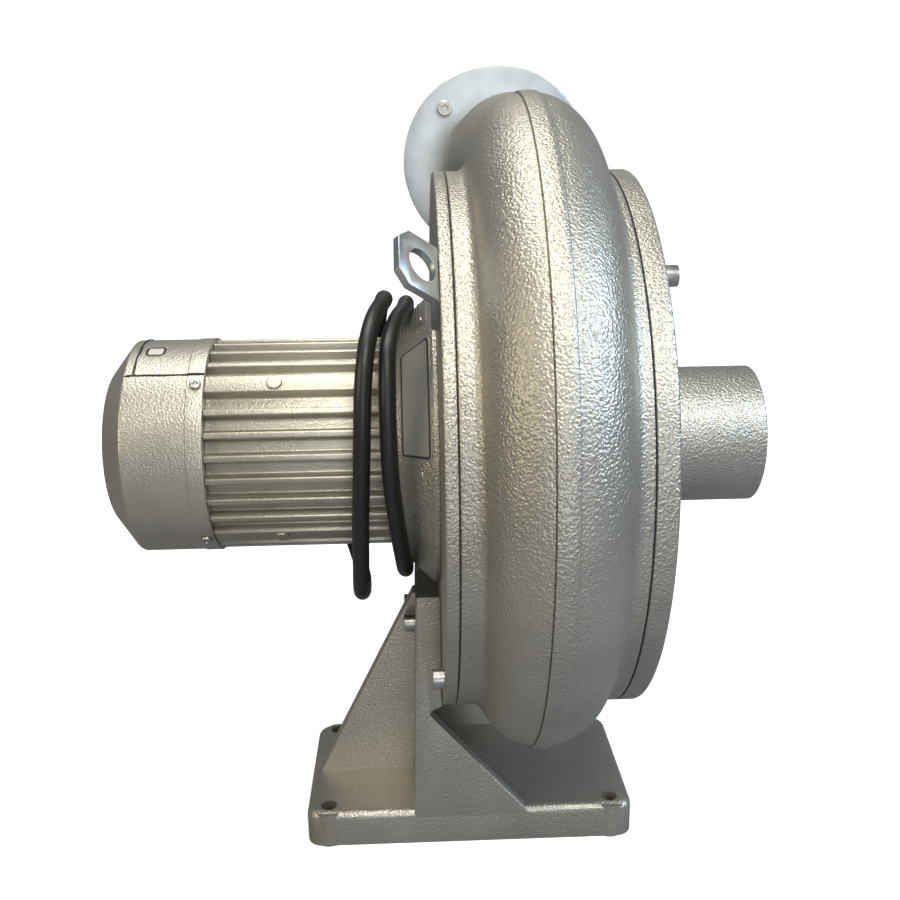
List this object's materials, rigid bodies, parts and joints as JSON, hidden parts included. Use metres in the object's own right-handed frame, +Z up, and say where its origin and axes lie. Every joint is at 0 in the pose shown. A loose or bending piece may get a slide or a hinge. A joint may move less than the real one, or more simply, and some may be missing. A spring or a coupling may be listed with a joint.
{
  "type": "radial vacuum blower",
  "caption": "Single-stage radial blower: finned flange motor drives an impeller in a cast scroll on a ribbed foot, with a front inlet pipe, a flanged side outlet and a lifting lug.",
  "frame": {"origin": "centre of the four foot holes, on the underside of the foot", "axes": "+X out of the inlet pipe along the shaft, +Y out of the outlet flange, +Z up"},
  "size_m": [0.463, 0.5154, 0.5825],
  "materials": {
    "silver_paint": "satin silver-grey with a fine pebble",
    "zinc_plate": "bright zinc plate",
    "steel": "turned and ground",
    "aluminium": "bare sheet and casting",
    "gasket": "matte",
    "copper": "varnished copper wire",
    "dark_plastic": "matte",
    "black_plastic": "matte",
    "black_rubber": "matte",
    "plate_metal": "satin",
    "label_film": "satin film"
  },
  "bodies": {
    "blower": {"foot_pedestal": "silver_paint", "foot_screws": "zinc_plate", "foot_screw_washers": "zinc_plate", "back_plate": "silver_paint", "back_gasket": "gasket", "volute_casing": "silver_paint", "outlet_pipe": "silver_paint", "front_gasket": "gasket", "front_cover": "silver_paint", "inlet_pipe": "silver_paint", "back_plate_screws": "zinc_plate", "front_cover_screws": "zinc_plate", "outlet_flange": "zinc_plate", "outlet_flange_screws": "zinc_plate", "outlet_flange_washers": "zinc_plate", "lifting_lug": "zinc_plate", "lug_screw": "zinc_plate", "motor_flange": "silver_paint", "motor_flange_screws": "zinc_plate", "motor_frame": "silver_paint", "stator_core": "steel", "stator_windings": "copper", "rear_end_shield": "silver_paint", "fan_cowl": "silver_paint", "cowl_hatch": "silver_paint", "cowl_screws": "zinc_plate", "terminal_box": "silver_paint", "terminal_box_lid": "silver_paint", "terminal_lid_screws": "zinc_plate", "terminal_block": "dark_plastic", "cable_gland": "black_plastic", "power_cord": "black_rubber", "power_plug": "black_plastic", "rating_plate": "plate_metal", "plate_rivets": "plate_metal", "service_label": "label_film", "cowl_label": "black_plastic", "shaft_seal": "black_rubber", "drive_bearing_outer": "steel", "rear_bearing_outer": "steel", "wave_spring": "steel"},
    "rotor": {"motor_shaft": "steel", "shaft_key": "steel", "rotor_core": "steel", "rotor_end_rings": "aluminium", "drive_bearing_inner": "steel", "rear_bearing_inner": "steel", "impeller_disc": "aluminium", "impeller_blades": "aluminium", "impeller_shroud": "aluminium", "impeller_washer": "zinc_plate", "impeller_screw": "zinc_plate", "cooling_fan": "black_plastic", "fan_circlip": "steel"},
    "drive_cage": {"drive_bearing_balls": "steel", "drive_bearing_cage": "steel"},
    "rear_cage": {"rear_bearing_balls": "steel", "rear_bearing_cage": "steel"}
  },
  "joints": [
    {"name": "rotor_spin", "type": "hinge", "parent": "blower", "child": "rotor", "pos_m": [0, 0, 0.296], "axis": [1, 0, 0], "continuous": true},
    {"name": "drive_cage_spin", "type": "hinge", "parent": "blower", "child": "drive_cage", "pos_m": [0, 0, 0.296], "axis": [1, 0, 0], "continuous": true},
    {"name": "rear_cage_spin", "type": "hinge", "parent": "blower", "child": "rear_cage", "pos_m": [0, 0, 0.296], "axis": [1, 0, 0], "continuous": true}
  ],
  "couplings": [
    {"joint": "drive_cage_spin", "follows": "rotor_spin", "ratio": 0.3836},
    {"joint": "rear_cage_spin", "follows": "rotor_spin", "ratio": 0.3842}
  ]
}
